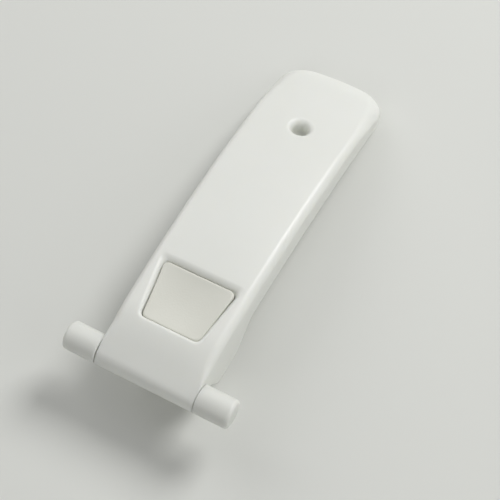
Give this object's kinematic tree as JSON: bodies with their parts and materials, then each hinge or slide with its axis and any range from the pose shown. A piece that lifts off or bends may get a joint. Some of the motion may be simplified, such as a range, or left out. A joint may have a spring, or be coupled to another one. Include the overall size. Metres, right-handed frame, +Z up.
{
  "type": "gate latch",
  "caption": "Arched thumb-lever gate latch on a pivot bar, with a thumb button that draws back a sprung hooked catch.",
  "frame": {"origin": "under the middle of the outline, on the surface the latch lies on", "axes": "+X along the pivot bar, +Y from the bar to the lever's tip, +Z up through the lever's arched top"},
  "size_m": [0.0412, 0.1039, 0.0207],
  "materials": {
    "lever_shell": "moulded, glossy white",
    "trunnion": "moulded, glossy white",
    "catch": "moulded, satin white",
    "button": "moulded, satin white",
    "thumb_pad": "moulded, matt warm white",
    "pin_steel": "ground bright",
    "spring_steel": "drawn wire",
    "screw_steel": "zinc plated"
  },
  "bodies": {
    "pivot": {"pivot_pin": "pin_steel", "trunnion_left": "trunnion", "trunnion_right": "trunnion"},
    "lever": {"lever_cover": "lever_shell", "lever_base": "lever_shell", "base_screw_1": "screw_steel", "base_screw_2": "screw_steel", "base_screw_3": "screw_steel", "base_screw_4": "screw_steel", "catch_spring": "spring_steel", "button_spring_left": "spring_steel", "button_spring_right": "spring_steel"},
    "catch": {"latch_catch": "catch"},
    "button": {"release_button": "button", "button_pad": "thumb_pad"}
  },
  "joints": [
    {"name": "lever_lift", "type": "hinge", "parent": "pivot", "child": "lever", "pos_m": [0, -0.04855, 0.014], "axis": [1, 0, 0], "range_deg": [0, 65]},
    {"name": "button_press", "type": "slide", "parent": "lever", "child": "button", "axis": [0, 0, -1], "range_m": [0, 0.0018], "stiffness_N_per_m": 500, "springref_m": -0.001, "deforming": ["button_spring_left", "button_spring_right"]},
    {"name": "catch_draw", "type": "slide", "parent": "lever", "child": "catch", "axis": [0, 1, 0], "range_m": [0, 0.00252], "stiffness_N_per_m": 400, "springref_m": -0.002, "deforming": ["catch_spring"]}
  ],
  "couplings": [
    {"joint": "catch_draw", "follows": "button_press", "ratio": 1.4}
  ]
}
